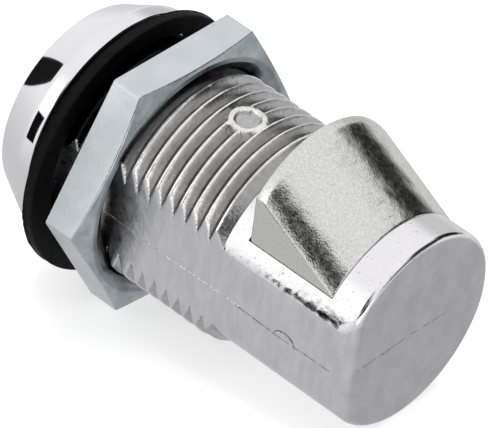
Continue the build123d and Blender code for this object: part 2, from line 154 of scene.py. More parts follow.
class Shader:
    """A new material with its Principled shader, and short ways to add nodes to it."""

    def __init__(self, name, metallic, color, roughness):
        self.material = bpy.data.materials.new(name)
        self.material.use_nodes = True
        self.tree = self.material.node_tree
        self.nodes = self.tree.nodes
        self.shader = self.nodes["Principled BSDF"]
        self.shader.inputs["Metallic"].default_value = metallic
        self.shader.inputs["Base Color"].default_value = (*color, 1)
        self.shader.inputs["Roughness"].default_value = roughness
        self.place = self.nodes.new("ShaderNodeTexCoord").outputs["Object"]

    def link(self, output, target):
        self.tree.links.new(output, target)

    def stretched(self, scale):
        """The object's own coordinates in millimetres, stretched by scale along each axis."""
        node = self.nodes.new("ShaderNodeMapping")
        node.inputs["Scale"].default_value = [s / MM for s in scale]
        self.link(self.place, node.inputs["Vector"])
        return node.outputs["Vector"]

    def noise(self, scale=(1, 1, 1), detail=4.0, roughness=0.55):
        """Cloudy noise whose features are about one over scale millimetres across."""
        node = self.nodes.new("ShaderNodeTexNoise")
        node.inputs["Scale"].default_value = 1.0
        node.inputs["Detail"].default_value = detail
        node.inputs["Roughness"].default_value = roughness
        self.link(self.stretched(scale), node.inputs["Vector"])
        return node.outputs["Fac"]

    def ranged(self, value, low, high, to_low, to_high):
        """A value mapped from one range to another and held inside it."""
        node = self.nodes.new("ShaderNodeMapRange")
        for socket, number in zip(node.inputs[1:5], (low, high, to_low, to_high)):
            socket.default_value = number
        self.link(value, node.inputs[0])
        return node.outputs[0]

    def colors(self, value, *stops):
        """Colour ramp through (position, colour) stops, into the base colour."""
        ramp = self.nodes.new("ShaderNodeValToRGB")
        fill_ramp(ramp, stops)
        self.link(value, ramp.inputs["Fac"])
        self.link(ramp.outputs["Color"], self.shader.inputs["Base Color"])
        return ramp.outputs["Color"]

    def darken(self, color, share):
        """Multiplies a colour by a share, into the base colour."""
        node = self.nodes.new("ShaderNodeVectorMath")
        node.operation = "SCALE"
        self.link(color, node.inputs[0])
        self.link(share, node.inputs["Scale"])
        self.link(node.outputs[0], self.shader.inputs["Base Color"])
        return node.outputs[0]

    def along(self):
        """Place along the barrel in millimetres."""
        node = self.nodes.new("ShaderNodeSeparateXYZ")
        self.link(self.stretched((1, 1, 1)), node.inputs[0])
        return node.outputs["Y"]

    def radius(self):
        """Distance from the barrel's axis in millimetres."""
        node = self.nodes.new("ShaderNodeVectorMath")
        node.operation = "LENGTH"
        self.link(self.stretched((1, 0, 1)), node.inputs[0])
        return node.outputs["Value"]

    def roughness(self, value, low, high):
        """Roughness between low and high, following a noise."""
        self.link(self.ranged(value, 0.3, 0.7, low, high), self.shader.inputs["Roughness"])

    def bump(self, height, depth):
        """Relief of the given depth in millimetres, added over any relief already there."""
        node = self.nodes.new("ShaderNodeBump")
        node.inputs["Strength"].default_value = 1.0
        node.inputs["Distance"].default_value = depth * MM
        self.link(height, node.inputs["Height"])
        target = self.shader.inputs["Normal"]
        if target.is_linked:
            self.link(target.links[0].from_socket, node.inputs["Normal"])
        self.link(node.outputs["Normal"], target)


def head_chrome():
    """Mirror-bright chrome of the head, very slightly wavy."""
    s = Shader("head_chrome", 1.0, (0.86, 0.855, 0.875), 0.04)
    s.roughness(s.noise((0.5, 0.5, 0.5)), 0.03, 0.06)
    s.colors(s.noise((0.2, 0.2, 0.2), 2), (0.3, (0.86, 0.855, 0.88)), (0.7, (0.90, 0.895, 0.905)))
    s.bump(s.noise((0.25, 0.25, 0.25), 1.0), 0.012)
    return s.material


def rear_chrome():
    """Chrome of the rear body: bright but grainy, with scattered pinholes."""
    s = Shader("rear_chrome", 1.0, (0.88, 0.875, 0.88), 0.12)
    s.roughness(s.noise((1.5, 1.5, 1.5)), 0.08, 0.2)
    s.colors(s.noise((3.6, 3.6, 3.6), 3, 0.7), (0.31, (0.22, 0.21, 0.21)), (0.35, (0.90, 0.89, 0.895)))
    s.bump(s.noise((0.6, 0.6, 0.6), 2), 0.02)
    s.bump(s.noise((5, 5, 5), 3), 0.008)
    return s.material


def flat_casting():
    """Satin plate over the flats and the end, with fine streaks left by the die."""
    s = Shader("flat_casting", 1.0, (0.74, 0.735, 0.75), 0.3)
    s.roughness(s.noise((1.2, 1.2, 1.2)), 0.24, 0.38)
    s.colors(s.noise((0.5, 1.2, 0.35), 5, 0.6), (0.3, (0.66, 0.655, 0.67)), (0.7, (0.80, 0.795, 0.81)))
    s.bump(s.noise((1.0, 4.5, 0.9), 3, 0.6), 0.02)
    s.bump(s.noise((6, 6, 6), 3), 0.008)
    return s.material


def thread_casting():
    """Satin plate over the cast thread, with a painted highlight on its crests, painted shade in its root and
    a painted shadow next to the nut.
    """
    s = Shader("thread_casting", 1.0, (0.72, 0.715, 0.71), 0.18)
    s.roughness(s.noise((1.8, 1.8, 1.8)), 0.13, 0.26)
    clouds = s.noise((1.6, 1.6, 1.6), 5, 0.7)
    grey = s.colors(clouds, (0.3, (0.60, 0.595, 0.585)), (0.7, (0.80, 0.795, 0.785)))
    # Painted highlight: the crests are coloured brighter than the flanks.
    grey = s.darken(grey, s.ranged(s.radius(), MAJOR_R - 0.13, MAJOR_R - 0.04, 0.72, 1.25))
    # Painted shade: the root of the thread is coloured darker.
    grey = s.darken(grey, s.ranged(s.radius(), ROOT_R - 0.02, ROOT_R + 0.22, 0.10, 1.0))
    # Painted shadow: the thread is coloured near black under the nut and just behind it, where the nut shades
    # it.
    s.darken(grey, s.ranged(s.along(), NUT_HIGH.y - 0.4, NUT_HIGH.y + 0.15, 0.03, 1.0))
    s.bump(s.noise((4, 4, 4), 4, 0.65), 0.03)
    return s.material


def cast_bolt():
    """Tumbled zinc casting of the bolt, satin with a coarse sparkle."""
    s = Shader("cast_bolt", 1.0, (0.76, 0.765, 0.735), 0.2)
    s.roughness(s.noise((2.2, 2.2, 2.2)), 0.13, 0.24)
    s.colors(s.noise((5.0, 5.0, 5.0), 4, 0.8), (0.35, (0.60, 0.61, 0.59)), (0.65, (0.86, 0.865, 0.835)))
    s.bump(s.noise((6, 6, 6), 1), 0.014)
    s.bump(s.noise((1.3, 1.3, 1.3), 2), 0.008)
    return s.material


def zinc_plate():
    """Blue-white zinc plate of the nut, softly clouded."""
    s = Shader("zinc_plate", 1.0, (0.66, 0.70, 0.72), 0.26)
    s.roughness(s.noise((0.7, 0.7, 0.7), 2), 0.22, 0.32)
    s.colors(s.noise((0.3, 0.3, 0.3), 2), (0.3, (0.62, 0.665, 0.69)), (0.7, (0.70, 0.735, 0.75)))
    s.bump(s.noise((1.2, 0.5, 1.2), 2), 0.006)
    s.bump(s.noise((8, 8, 8), 2), 0.002)
    return s.material


def zinc_face():
    """Turned faces of the nut: darker and bluer than its sides, with painted shade round the hole and in its
    countersunk mouths, and a thin darker ring where the face meets the chamfer.
    """
    s = Shader("zinc_face", 1.0, (0.42, 0.48, 0.51), 0.22)
    s.roughness(s.noise((0.8, 0.8, 0.8)), 0.14, 0.30)
    blue = s.colors(
        s.noise((0.45, 1, 0.45), 5, 0.6), (0.3, (0.36, 0.415, 0.445)), (0.72, (0.66, 0.72, 0.745)))
    blue = s.darken(blue, s.ranged(s.radius(), NUT_CHAMFER_R - 0.15, NUT_CHAMFER_R + 0.1, 0.72, 1.0))
    # Painted shade: darker towards the hole and in the countersunk mouths.
    s.darken(blue, s.ranged(s.radius(), MAJOR_R + 0.5, NUT_CHAMFER_R - 0.2, 0.7, 1.0))
    s.bump(s.noise((1.2, 0.5, 1.2), 3), 0.012)
    return s.material


def bore_shade():
    """Inside of the nut, coloured near black as painted shade, which the flat beside it mirrors."""
    s = Shader("bore_shade", 1.0, (0.06, 0.06, 0.06), 0.45)
    s.roughness(s.noise((1.5, 1.5, 1.5)), 0.35, 0.6)
    s.colors(s.noise((1.2, 1.2, 1.2)), (0.35, (0.02, 0.02, 0.02)), (0.75, (0.12, 0.12, 0.12)))
    return s.material


def black_rubber():
    """Moulded black rubber, matte, with a dusty bloom."""
    s = Shader("black_rubber", 0.0, (0.003, 0.003, 0.0033), 0.6)
    s.shader.inputs["Specular IOR Level"].default_value = 0.1
    s.roughness(s.noise((2, 2, 2)), 0.45, 0.7)
    s.colors(s.noise((0.8, 0.8, 0.8), 5), (0.35, (0.002, 0.002, 0.0022)), (0.75, (0.005, 0.005, 0.0055)))
    s.bump(s.noise((5, 5, 5), 3), 0.01)
    return s.material


def drawn_metal(name, dark, light, roughness, scale):
    """Machined, stamped or drawn metal with fine lines along its stretched direction."""
    s = Shader(name, 1.0, light, roughness)
    s.roughness(s.noise(scale), roughness * 0.8, roughness * 1.3)
    s.colors(s.noise(scale, 3), (0.3, dark), (0.7, light))
    s.bump(s.noise(tuple(2 * v for v in scale), 2), 0.006)
    return s.material


def seam_metal(name, dark, light):
    """Metal of the parting line and the scratch, broken into lighter and darker specks; coloured bright it is
    a painted highlight along the ridge, coloured dark it is painted shade.
    """
    s = Shader(name, 1.0, light, 0.4)
    s.roughness(s.noise((6, 6, 6)), 0.3, 0.55)
    s.colors(s.noise((2.5, 2.5, 2.5), 3), (0.4, dark), (0.6, light))
    return s.material


def floor_paint():
    """White studio table that glows a little, so that shadows on it stay pale."""
    s = Shader("floor_paint", 0.0, (0.55, 0.55, 0.55), 0.9)
    s.colors(s.noise((0.02, 0.02, 0.02), 2), (0.3, (0.54, 0.54, 0.54)), (0.7, (0.56, 0.56, 0.56)))
    s.shader.inputs["Specular IOR Level"].default_value = 0.0
    s.shader.inputs["Emission Color"].default_value = (1, 1, 1, 1)
    s.shader.inputs["Emission Strength"].default_value = 0.62
    return s.material


def card_paint():
    """Black card that the chrome mirrors."""
    s = Shader("card_paint", 0.0, (0.004, 0.004, 0.004), 0.9)
    s.colors(s.noise((0.1, 0.1, 0.1), 2), (0.3, (0.003, 0.003, 0.003)), (0.7, (0.006, 0.005, 0.005)))
    s.shader.inputs["Specular IOR Level"].default_value = 0.0
    return s.material


MATERIALS = {
    "head_chrome": head_chrome(),
    "rear_chrome": rear_chrome(),
    "flat": flat_casting(),
    "thread": thread_casting(),
    "bolt": cast_bolt(),
    "zinc": zinc_plate(),
    "zinc_face": zinc_face(),
    "bore_shade": bore_shade(),
    "rubber": black_rubber(),
    # Painted highlight and painted shade for the ridges of the parting line and the scratch.
    "ridge_highlight": seam_metal("ridge_highlight", (0.55, 0.55, 0.55), (0.98, 0.98, 0.98)),
    "ridge_shade": seam_metal("ridge_shade", (0.02, 0.02, 0.02), (0.35, 0.34, 0.34)),
    "floor": floor_paint(),
    "card": card_paint(),
    "stainless": drawn_metal("stainless", (0.52, 0.52, 0.53), (0.66, 0.66, 0.67), 0.25, (6, 6, 0.4)),
    "brass": drawn_metal("brass", (0.62, 0.45, 0.18), (0.80, 0.62, 0.30), 0.3, (1, 1, 8)),
    "spring_wire": drawn_metal("spring_wire", (0.30, 0.30, 0.32), (0.46, 0.46, 0.48), 0.3, (5, 5, 5)),
    "ground_steel": drawn_metal("ground_steel", (0.42, 0.42, 0.44), (0.58, 0.58, 0.6), 0.2, (8, 0.6, 8)),
    "plug_casting": drawn_metal("plug_casting", (0.48, 0.48, 0.48), (0.64, 0.64, 0.63), 0.36, (2, 2, 2)),
}


# ---- Building meshes ---------------------------------------------------------------

def smooth_min(a, b, reach):
    """The lower of two heights, rounded over where they cross."""
    h = np.maximum(reach - np.abs(a - b), 0) / reach
    return np.minimum(a, b) - h * h * reach / 4


def rounded(points, radius, steps=4):
    """Open path with each inner corner replaced by an arc of about the given radius."""
    path = [points[0]]
    for before, corner, after in zip(points, points[1:], points[2:]):
        p, q, r = (np.array(v, float) for v in (before, corner, after))
        into, out = (p - q) / np.linalg.norm(p - q), (r - q) / np.linalg.norm(r - q)
        reach = min(radius, np.linalg.norm(p - q) / 2, np.linalg.norm(r - q) / 2)
        for i in range(steps + 1):
            t = i / steps
            path.append(tuple(q + into * reach * (1 - t) ** 2 + out * reach * t ** 2))
    return path + [points[-1]]


def grain(points, size, depth, seed):
    """One smooth random height for each point, features about size across."""
    shift = Vector((seed * 17.3, seed * 5.1, seed * 9.7))
    return np.array([noise.noise(Vector(p) / size + shift) for p in points]) * depth


class Skin:
    """Rows of points joined into a surface, each row a closed loop with the same count."""

    def __init__(self):
        self.points, self.faces = [], []

    def row(self, points):
        """Adds a row of points and gives their numbers."""
        first = sum(len(p) for p in self.points)
        self.points.append(np.asarray(points, float))
        return range(first, first + len(points))

    def join(self, a, b):
        """Faces between one row and the next."""
        count = len(a)
        for i in range(count):
            j = (i + 1) % count
            self.faces.append((a[i], a[j], b[j], b[i]))

    def cap(self, row, centre, flip=False):
        """Closes a row with a fan of faces about its centre."""
        tip = self.row([centre])[0]
        count = len(row)
        for i in range(count):
            j = (i + 1) % count
            self.faces.append((row[i], row[j], tip) if flip else (row[j], row[i], tip))

    def rows(self, rows, closed=False):
        """Adds rows joined one to the next, or also last to first, and gives the first and last."""
        placed = [self.row(r) for r in rows]
        pairs = list(zip(placed, placed[1:] + placed[:1]))
        for a, b in pairs if closed else pairs[:-1]:
            self.join(a, b)
        return placed[0], placed[-1]


def piece(name, points, faces, materials, marks=None, crease=35):
    """Mesh object from points in millimetres, smooth except across sharp edges."""
    mesh = bpy.data.meshes.new(name)
    mesh.from_pydata([tuple(p) for p in np.asarray(points) * MM], [], faces)
    for material in materials:
        mesh.materials.append(MATERIALS[material])
    if marks is not None:
        mesh.polygons.foreach_set("material_index", marks)
    mesh.validate()
    turn_outward(mesh)
    finish_mesh(mesh, crease)
    obj = bpy.data.objects.new(name, mesh)
    bpy.context.scene.collection.objects.link(obj)
    return obj


def turn_outward(mesh):
    """Reverses the faces of a closed mesh that came out inside-out."""
    shell = bmesh.new()
    shell.from_mesh(mesh)
    if shell.calc_volume(signed=True) < 0:
        bmesh.ops.reverse_faces(shell, faces=shell.faces)
        shell.to_mesh(mesh)
    shell.free()


def finish_mesh(mesh, crease):
    """Shades a mesh smooth, with sharp edges where it turns by more than crease degrees."""
    mesh.polygons.foreach_set("use_smooth", [True] * len(mesh.polygons))
    mesh.set_sharp_from_angle(angle=radians(crease))
    mesh.update()


def settle(obj, crease=35):
    """Turns an object's modifiers into its mesh."""
    bpy.context.view_layer.update()
    ready = obj.evaluated_get(bpy.context.evaluated_depsgraph_get())
    mesh = bpy.data.meshes.new_from_object(ready)
    obj.modifiers.clear()
    old, obj.data = obj.data, mesh
    bpy.data.meshes.remove(old)
    finish_mesh(mesh, crease)


def cut(obj, *cutters):
    """Takes the cutters out of an object and deletes them."""
    for cutter in cutters:
        step = obj.modifiers.new("cut", "BOOLEAN")
        step.operation = "DIFFERENCE"
        step.solver = "EXACT"
        step.material_mode = "TRANSFER"
        step.object = cutter
    settle(obj)
    for cutter in cutters:
        bpy.data.objects.remove(cutter)


def lathe(name, path, material, columns=128):
    """Closed solid turned about the barrel axis from (radius, y) points that start and end on it."""
    skin = Skin()
    angles = np.arange(columns) * TURN / columns
    inner = [p for p in path if p[0] > 0]
    rows = [np.stack([r * np.cos(angles), np.full(columns, y), r * np.sin(angles)], 1) for r, y in inner]
    first, last = skin.rows(rows)
    skin.cap(first, (0, path[0][1], 0))
    skin.cap(last, (0, path[-1][1], 0), flip=True)
    return piece(name, np.vstack(skin.points), skin.faces, [material])


def prism(name, outline, front, rear, material):
    """Closed prism along the barrel from an outline of (x, z) points."""
    count = len(outline)
    points = [(x, y, z) for y in (front, rear) for x, z in outline]
    faces = [(i, (i + 1) % count, (i + 1) % count + count, i + count) for i in range(count)]
    faces += [tuple(range(count))[::-1], tuple(range(count, 2 * count))]
    return piece(name, points, faces, [material])


def post(name, radius, low, high, y, material):
    """Closed upright cylinder."""
    count = 64
    ring_points = [(radius * cos(TURN * i / count), radius * sin(TURN * i / count)) for i in range(count)]
    points = [(x, y + out, z) for z in (low, high) for x, out in ring_points]
    faces = [(i, (i + 1) % count, (i + 1) % count + count, i + count) for i in range(count)]
    faces += [tuple(range(count))[::-1], tuple(range(count, 2 * count))]
    return piece(name, points, faces, [material])


def on_body(obj, body, slot, *nodes):
    """Puts a finished piece on its body, in place of the CAD nodes it stands for. The slot is not used."""
    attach(obj, body)
    if nodes:
        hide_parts(*nodes)
    return obj


# ---- Housing -----------------------------------------------------------------------

COLUMNS = 480
ANGLES = np.arange(COLUMNS) * TURN / COLUMNS
# Rows of the thread's mesh in one pitch, close together at the edges of crest and root.
STATIONS = (0.0, 0.08, 0.11, 0.24, 0.37, 0.5, 0.64, 0.67, 0.75, 0.83, 0.86, 1.0, 1.13, 1.26, 1.39, 1.42)


def thread_radius(y):
    """Height of the threaded barrel above its axis, before its flats are cut."""
    run_in, run_out, past, steep = 0.8, 0.4, 0.3, 2.5
    phase = (y - THREAD_START) / PITCH + ANGLES / TURN
    from_crest = np.abs(phase - np.round(phase)) * PITCH
    ridge = MAJOR_R - np.maximum(from_crest - CREST / 2, 0) * FLANK_SLOPE
    risen = np.clip((y - THREAD_START + run_in / 2) / run_in, 0, 1)
    grown = risen * np.clip((SHOULDER_START + past - y) / run_out, 0, 1)
    radius = ROOT_R + np.maximum(ridge - ROOT_R, 0) * grown
    slope = (SHOULDER_R - REAR_R) / (STEP - SHOULDER_START)
    shoulder = SHOULDER_R - np.abs(y - SHOULDER_START) * np.where(y > SHOULDER_START, slope, steep)
    radius = np.maximum(radius, shoulder)
    from_pad = np.hypot((ANGLES - PAD_ANGLE) * MAJOR_R, y - PAD_Y)
    radius = np.maximum(radius, PAD_TOP_R - np.maximum(from_pad - PAD_R, 0) * steep)
    floor = PAD_TOP_R - PAD_DISH + np.maximum(from_pad - PAD_DISH_R, 0) * steep
    return np.minimum(radius, np.where(from_pad < PAD_R, floor, MAJOR_R + 1))


def flatted(radius, reach, near_inset=0.0, far_inset=0.0):
    """Radius of a round bar once its two side flats are cut, with the edges rounded over."""
    flat = np.where(np.cos(ANGLES) > 0, FLAT_X - near_inset, far_inset - FAR_FLAT_X)
    return smooth_min(radius, flat / np.maximum(np.abs(np.cos(ANGLES)), 1e-3), reach)


def ring(radius, y):
    """Row of points round the barrel."""
    radius, y = np.broadcast_to(radius, COLUMNS), np.broadcast_to(y, COLUMNS)
    return np.stack([radius * np.cos(ANGLES), y, radius * np.sin(ANGLES)], 1)


def helix_shift():
    """How far a row follows the thread's slant: along it over the round sides, and back over the flats."""
    from_crown = ANGLES % pi - pi / 2
    round_part = radians(67)
    back = np.sign(from_crown) * round_part * (pi / 2 - np.abs(from_crown)) / (pi / 2 - round_part)
    return -PITCH * np.where(np.abs(from_crown) <= round_part, from_crown, back) / TURN


def head_rows():
    """Front face, cone and rim of the head, round to the barrel behind it."""
    inner_r, edge_round = 3.0, 0.28
    path = [(inner_r, HEAD_FRONT), (HEAD_FRONT_R, HEAD_FRONT), (RIM_R, HEAD_CREASE), (RIM_R, HEAD_BACK),
            (ROOT_R + 0.3, HEAD_BACK)]
    return [ring(r, y) for r, y in rounded(path, edge_round, 5)]


def thread_rows():
    """Threaded barrel up to the step, its mesh rows slanted to follow the thread."""
    slant = helix_shift()
    first_crest = THREAD_START - PITCH / 4
    rows = [ring(flatted(ROOT_R, THREAD_EDGE_ROUND), y) for y in (HEAD_BACK + 0.02, HEAD_BACK + 0.8)]
    for turn in range(-1, 13):
        for station in STATIONS:
            y = first_crest + turn * PITCH + station
            if not HEAD_BACK + 1 < y < SHOULDER_START - 0.05:
                continue
            place = y + slant * np.clip(min((y + 0.9) / 0.9, (SHOULDER_START - y) / 0.6), 0, 1)
            rows.append(ring(flatted(thread_radius(place), THREAD_EDGE_ROUND), place))
    for y in np.linspace(SHOULDER_START, STEP, 9):
        rows.append(ring(flatted(thread_radius(np.full(COLUMNS, y)), THREAD_EDGE_ROUND), y))
    return rows


def end_drop(y):
    """How far the side flats have rounded inward at a place near the rear end."""
    run = max(y - (REAR_END - FLAT_END_ROUND), 0)
    return FLAT_END_ROUND - sqrt(max(FLAT_END_ROUND ** 2 - run ** 2, 0))


def rear_rows():
    """Smooth body behind the step, its rounded rear edge and its end face."""
    spacing = 0.2
    far = REAR_END - FLAT_END_ROUND
    straight = np.arange(spacing / 2, far - STEP - spacing, spacing)
    rows = [ring(flatted(REAR_R, EDGE_ROUND), STEP + y) for y in straight]
    places = sorted([far + FLAT_END_ROUND * sin(a) for a in np.radians(np.linspace(0, 90, 24))]
                    + [REAR_END - REAR_ROUND * (1 - sin(a)) for a in np.radians(np.linspace(0, 84, 14))])
    for y in places:
        lift = max(y - (REAR_END - REAR_ROUND), 0)
        on_round = REAR_ROUND - sqrt(max(REAR_ROUND ** 2 - lift ** 2, 0))
        widening = EDGE_ROUND * (1 + y - far)
        reach = np.where(np.cos(ANGLES) > 0, widening, EDGE_ROUND)
        rows.append(ring(flatted(REAR_R - on_round, reach, end_drop(y), on_round), y))
    rim = rows[-1]
    rows += [rim * (share, 1, share) for share in np.linspace(0.96, 0.06, 16)]
    return rows


def chamber_outline():
    """Section of the bolt's chamber: round floor, upright sides, open at the top."""
    half = BOLT_HALF + SLIDE_GAP
    low = acos(half / CHAMBER_R)
    floor_angles = np.linspace(-low, low - pi, 40)
    floor_points = [(CHAMBER_R * cos(a), CHAMBER_R * sin(a)) for a in floor_angles]
    return [(half, REAR_R + TRAVEL)] + floor_points + [(-half, REAR_R + TRAVEL)]


def channel_outline():
    """Section of the two channels that the locked wafers stand out into."""
    low = acos(CHANNEL_HALF / CHANNEL_R)
    top = [(CHANNEL_R * cos(a), CHANNEL_R * sin(a)) for a in np.linspace(low, pi - low, 20)]
    return top + [(-x, -z) for x, z in top]


def hollows():
    """Solids that stand for the housing's inner spaces: bore, channels, chamber and spring room."""
    front, rear = HEAD_FRONT - 1, BOLT_LOW.y + 1
    bore_path = [(0, front), (FLANGE_R, front), (FLANGE_R, FLANGE_BACK), (BORE_R, FLANGE_BACK),
                 (BORE_R, RETAINER_FRONT), (RETAINER_R, RETAINER_FRONT), (RETAINER_R, RETAINER_REAR),
                 (BORE_R, RETAINER_REAR), (BORE_R, rear), (0, rear)]
    return (lathe("bore", bore_path, "flat"),
            prism("channels", channel_outline(), CHANNEL_FRONT, CHANNEL_REAR, "flat"),
            prism("chamber", chamber_outline(), BOLT_LOW.y - SLIDE_GAP, BOLT_HIGH.y + SLIDE_GAP, "flat"),
            post("spring_room", SPRING_R, SPRING_SEAT, 0, SPRING_Y, "flat"))


def roughened(points):
    """The housing's points moved in or out a little: the casting is uneven, most along the flats' edges."""
    edge_x, edge_r = 8.2, 9.6
    radius = np.hypot(points[:, 0], points[:, 2])
    cast = (points[:, 1] > HEAD_BACK + 0.5) & (points[:, 1] < STEP)
    behind = points[:, 1] >= STEP
    edge = behind & (np.abs(points[:, 0]) > edge_x) & (radius > edge_r) & (points[:, 1] < REAR_END - 1)
    swell = np.where(cast, grain(points, 1.3, 0.03, 1) + grain(points, 0.45, 0.012, 2), 0)
    swell += np.where(behind, grain(points, 2.6, 0.012, 3), 0)
    swell += np.where(edge, grain(points, 0.4, 0.014, 9) + grain(points, 0.9, 0.02, 10), 0)
    share = 1 + swell / np.maximum(radius, 1)
    return points * np.stack([share, np.ones(len(share)), share], 1)


HOUSING_FINISHES = ["head_chrome", "thread", "flat", "rear_chrome"]


def finish_at(place):
    """Finish of the housing's surface at a place on it."""
    x, y, z = place
    across = x if x > 0 else FLAT_X + FAR_FLAT_X - x
    if y < HEAD_BACK + 0.01:
        return "head_chrome"
    if y > REAR_END - 0.02 or z < -2 and y > STEP or across > FLAT_X - end_drop(y) - 0.12:
        return "flat"
    return "thread" if y < STEP else "rear_chrome"


def housing():
    """Head and barrel: plated casting with its thread, flats, window and bore."""
    skin = Skin()
    first, last = skin.rows(head_rows() + thread_rows() + rear_rows())
    skin.cap(first, (0, HEAD_FRONT, 0))
    skin.cap(last, (0, REAR_END, 0), flip=True)
    points = roughened(np.vstack(skin.points))
    marks = [HOUSING_FINISHES.index(finish_at(points[list(face)].mean(0))) for face in skin.faces]
    body = piece("lock_housing", points, skin.faces, HOUSING_FINISHES, marks)
    cut(body, *hollows())
    return on_body(body, "housing", "barrel_chrome", "housing")


def along_path(path, spacing):
    """Points about evenly spaced along a path."""
    lengths = [(b - a).length for a, b in zip(path, path[1:])]
    count = int(sum(lengths) / spacing)
    places = []
    for i in range(count + 1):
        run, leg = sum(lengths) * i / count, 0
        while leg < len(lengths) - 1 and run > lengths[leg]:
            run -= lengths[leg]
            leg += 1
        places.append(path[leg].lerp(path[leg + 1], run / lengths[leg]))
    return places


def ridge_faces(present):
    """Faces of a ridge with four points at each place, closed at both ends of every stretch."""
    faces = []
    final = len(present) - 2
    for i in range(final + 1):
        if not present[i]:
            continue
        a, b = 4 * i, 4 * i + 4
        faces += [(a + k, a + (k + 1) % 4, b + (k + 1) % 4, b + k) for k in range(4)]
        if i == 0 or not present[i - 1]:
            faces.append((a + 3, a + 2, a + 1, a))
        if i == final or not present[i + 1]:
            faces.append((b, b + 1, b + 2, b + 3))
    return faces


def seam(name, path, across, out, width, height, gaps, seed, material):
    """Parting line or scratch: a low, broken ridge along a path on a face of the casting."""
    spacing, wander, sunk = 0.1, 0.1, 0.06
    across, out = Vector(across), Vector(out)

    def chance(i, size, row, column):
        return noise.noise(Vector((i * spacing / size, row, column)))

    points, present = [], []
    for i, middle in enumerate(along_path([Vector(p) for p in path], spacing)):
        middle = middle + across * chance(i, 1.6, seed, 0) * wander
        swell = 0.55 + 0.9 * abs(chance(i, 0.45, seed + 7, 3))
        for side, lift in ((-1, -sunk), (-0.5, height * swell), (0.5, height * swell), (1, -sunk)):
            points.append(middle + across * side * width * swell + out * lift)
        present.append(chance(i, 0.8, seed + 31, 5) + chance(i, 2.6, seed, 9) > gaps)
    faces = ridge_faces(present)
    used = sorted({v for f in faces for v in f})
    place = {old: new for new, old in enumerate(used)}
    faces = [tuple(place[v] for v in f) for f in faces]
    obj = piece(name, [points[v] for v in used], faces, [material], crease=50)
    return on_body(obj, "housing", "barrel_chrome")


def seams():
    """Parting line of the die along both flats and across the end, and one scratch, coloured as painted
    highlight and painted shade.
    """
    start, waist, end = 4.5, 22.0, REAR_END
    up, near, far, back = (0, 0, 1), (1, 0, 0), (-1, 0, 0), (0, 1, 0)
    front_line = [(FLAT_X, start, -0.4), (FLAT_X, 14, -0.6), (FLAT_X, waist, -0.45)]
    seam("seam_flat_front", front_line, up, near, 0.09, 0.08, -0.5, 3.0, "ridge_highlight")
    rear_line = [(FLAT_X, waist - 2, -0.5), (FLAT_X, waist + 5, -0.75), (FLAT_X, end - 1.7, -0.6)]
    seam("seam_flat_rear", rear_line, up, near, 0.06, 0.03, -0.3, 12.0, "ridge_shade")
    far_line = [(FAR_FLAT_X, start, -0.4), (FAR_FLAT_X, end - 1.0, -0.5)]
    seam("seam_far_flat", far_line, up, far, 0.05, 0.04, -0.1, 8.0, "ridge_highlight")
    end_line = [(FLAT_X - 1.7, end, -0.5), (1.0, end, -0.2), (-4.2, end, -0.3)]
    seam("seam_end", end_line, up, back, 0.045, 0.02, -0.25, 5.0, "ridge_shade")
    turns = np.radians(np.linspace(165, 10, 14))
    scratch = [(FLAT_X, waist + 5.5 + 1.35 * cos(a), -1.1 + 1.2 * sin(a)) for a in turns]
    seam("scratch", scratch, up, near, 0.16, 0.05, -1.0, 21.0, "ridge_shade")
    # Painted highlight along the scratch's lower side.
    glint = [(x, y - 0.1, z - 0.24) for x, y, z in scratch[3:11]]
    seam("scratch_bright", glint, up, near, 0.12, 0.05, -1.0, 25.0, "ridge_highlight")


# ---- Nut ---------------------------------------------------------------------------

def hex_outline():
    """Corner-rounded hexagon with a flat on top."""
    across, corner_round, steps = NUT_HIGH.z, 0.4, 8
    reach = (across - corner_round) / cos(pi / 6)
    points = []
    for middle in (k * pi / 3 for k in range(6)):
        for a in np.linspace(middle - pi / 6, middle + pi / 6, steps):
            points.append((reach * cos(middle) + corner_round * cos(a),
                           reach * sin(middle) + corner_round * sin(a)))
    return points


def nut_bore(front, rear):
    """Solid that stands for the nut's threaded hole and its countersunk mouths."""
    mouth_r, root_r, crest_r, lead, half_crest, run_out = 12.0, 11.1, 10.2, 0.55, 0.07, 1.3
    angles = np.arange(240) * TURN / 240

    def loop(radius, y):
        radius = np.broadcast_to(radius, len(angles))
        return np.stack([radius * np.cos(angles), np.full(len(angles), float(y)), radius * np.sin(angles)], 1)

    rows = [loop(mouth_r + 1, front - lead), loop(mouth_r, front), loop(root_r + 0.02, front + lead)]
    for y in np.arange(front + lead + 0.05, rear - lead, PITCH / 12):
        phase = (y - THREAD_START) / PITCH + 0.5 + angles / TURN
        from_crest = np.abs(phase - np.round(phase)) * PITCH
        crest = max(crest_r, root_r - (min(y - front, rear - y) - lead) * run_out)
        rows.append(loop(np.minimum(crest + np.maximum(from_crest - half_crest, 0) * sqrt(3), root_r), y))
    rows += [loop(root_r + 0.02, rear - lead), loop(mouth_r, rear), loop(mouth_r + 1, rear + lead)]
    skin = Skin()
    first, last = skin.rows(rows)
    skin.cap(first, (0, front - lead, 0))
    skin.cap(last, (0, rear + lead, 0), flip=True)
    points = np.vstack(skin.points)
    middles = [points[list(face), 1].mean() for face in skin.faces]
    # The hole's inside takes the bore's painted shade; its countersunk mouths take the face's finish.
    marks = [0 if min(y - front, rear - y) < lead else 1 for y in middles]
    return piece("nut_bore", points, skin.faces, ["zinc_face", "bore_shade"], marks)


